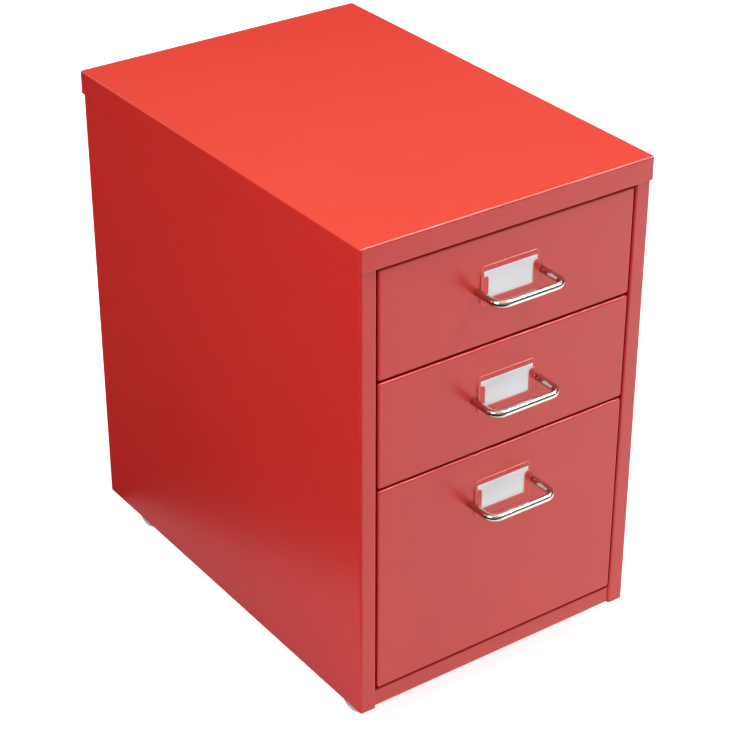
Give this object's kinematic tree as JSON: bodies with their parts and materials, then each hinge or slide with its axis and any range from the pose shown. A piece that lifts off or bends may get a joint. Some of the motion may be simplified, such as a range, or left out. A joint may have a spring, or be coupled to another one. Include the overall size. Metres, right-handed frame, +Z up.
{
  "type": "drawer cabinet",
  "caption": "Small red sheet-steel drawer cabinet with two shallow drawers over a deep one, wire handles, label holders and hidden swivel casters.",
  "frame": {"origin": "on the floor, below the middle of the cabinet's bounding box with its handles", "axes": "+Z up, the drawers open towards -Y, +X to the right of someone who faces the drawers"},
  "size_m": [0.28, 0.4396, 0.447],
  "materials": {
    "red_paint": "semi-gloss red powder coat on sheet steel",
    "chrome": "bright chrome plate",
    "zinc_steel": "zinc-plated steel",
    "card": "plain white label card",
    "nylon": "natural white nylon",
    "rubber": "black rubber",
    "fork_plastic": "grey moulded plastic",
    "wheel_plastic": "pale grey translucent plastic"
  },
  "bodies": {
    "cabinet": {"side_panel_left": "red_paint", "side_panel_right": "red_paint", "back_panel": "red_paint", "top_cap": "red_paint", "top_brace": "red_paint", "base_panel": "red_paint", "bottom_rail": "red_paint", "back_rivets": "red_paint", "top_runner_left": "red_paint", "top_runner_right": "red_paint", "middle_runner_left": "red_paint", "middle_runner_right": "red_paint", "bottom_runner_left": "red_paint", "bottom_runner_right": "red_paint", "runner_bumpers": "rubber", "caster_front_left_stem": "zinc_steel", "caster_rear_left_stem": "zinc_steel", "caster_front_right_stem": "zinc_steel", "caster_rear_right_stem": "zinc_steel", "caster_nuts": "zinc_steel"},
    "top_drawer": {"top_drawer_front": "red_paint", "top_drawer_tray": "red_paint", "top_drawer_handle": "chrome", "top_drawer_handle_screws": "zinc_steel", "top_drawer_label_holder": "red_paint", "top_drawer_label_card": "card", "top_drawer_glides": "nylon"},
    "middle_drawer": {"middle_drawer_front": "red_paint", "middle_drawer_tray": "red_paint", "middle_drawer_handle": "chrome", "middle_drawer_handle_screws": "zinc_steel", "middle_drawer_label_holder": "red_paint", "middle_drawer_label_card": "card", "middle_drawer_glides": "nylon"},
    "bottom_drawer": {"bottom_drawer_front": "red_paint", "bottom_drawer_tray": "red_paint", "bottom_drawer_handle": "chrome", "bottom_drawer_handle_screws": "zinc_steel", "bottom_drawer_label_holder": "red_paint", "bottom_drawer_label_card": "card", "bottom_drawer_glides": "nylon"},
    "caster_front_left_fork_body": {"caster_front_left_fork": "fork_plastic", "caster_front_left_axle": "zinc_steel"},
    "caster_front_left_wheel_body": {"caster_front_left_wheel": "wheel_plastic"},
    "caster_rear_left_fork_body": {"caster_rear_left_fork": "fork_plastic", "caster_rear_left_axle": "zinc_steel"},
    "caster_rear_left_wheel_body": {"caster_rear_left_wheel": "wheel_plastic"},
    "caster_front_right_fork_body": {"caster_front_right_fork": "fork_plastic", "caster_front_right_axle": "zinc_steel"},
    "caster_front_right_wheel_body": {"caster_front_right_wheel": "wheel_plastic"},
    "caster_rear_right_fork_body": {"caster_rear_right_fork": "fork_plastic", "caster_rear_right_axle": "zinc_steel"},
    "caster_rear_right_wheel_body": {"caster_rear_right_wheel": "wheel_plastic"}
  },
  "joints": [
    {"name": "top_drawer_slide", "type": "slide", "parent": "cabinet", "child": "top_drawer", "axis": [0, -1, 0], "range_m": [0, 0.3]},
    {"name": "middle_drawer_slide", "type": "slide", "parent": "cabinet", "child": "middle_drawer", "axis": [0, -1, 0], "range_m": [0, 0.3]},
    {"name": "bottom_drawer_slide", "type": "slide", "parent": "cabinet", "child": "bottom_drawer", "axis": [0, -1, 0], "range_m": [0, 0.3]},
    {"name": "caster_front_left_swivel", "type": "hinge", "parent": "cabinet", "child": "caster_front_left_fork_body", "pos_m": [-0.1165, -0.14075, 0.036], "axis": [0, 0, 1], "continuous": true},
    {"name": "caster_front_left_roll", "type": "hinge", "parent": "caster_front_left_fork_body", "child": "caster_front_left_wheel_body", "pos_m": [-0.1165, -0.15175, 0.0145], "axis": [1, 0, 0], "continuous": true},
    {"name": "caster_rear_left_swivel", "type": "hinge", "parent": "cabinet", "child": "caster_rear_left_fork_body", "pos_m": [-0.1165, 0.17025, 0.036], "axis": [0, 0, 1], "continuous": true},
    {"name": "caster_rear_left_roll", "type": "hinge", "parent": "caster_rear_left_fork_body", "child": "caster_rear_left_wheel_body", "pos_m": [-0.1165, 0.18125, 0.0145], "axis": [1, 0, 0], "continuous": true},
    {"name": "caster_front_right_swivel", "type": "hinge", "parent": "cabinet", "child": "caster_front_right_fork_body", "pos_m": [0.1165, -0.14075, 0.036], "axis": [0, 0, 1], "continuous": true},
    {"name": "caster_front_right_roll", "type": "hinge", "parent": "caster_front_right_fork_body", "child": "caster_front_right_wheel_body", "pos_m": [0.1165, -0.15175, 0.0145], "axis": [1, 0, 0], "continuous": true},
    {"name": "caster_rear_right_swivel", "type": "hinge", "parent": "cabinet", "child": "caster_rear_right_fork_body", "pos_m": [0.1165, 0.17025, 0.036], "axis": [0, 0, 1], "continuous": true},
    {"name": "caster_rear_right_roll", "type": "hinge", "parent": "caster_rear_right_fork_body", "child": "caster_rear_right_wheel_body", "pos_m": [0.1165, 0.18125, 0.0145], "axis": [1, 0, 0], "continuous": true}
  ]
}
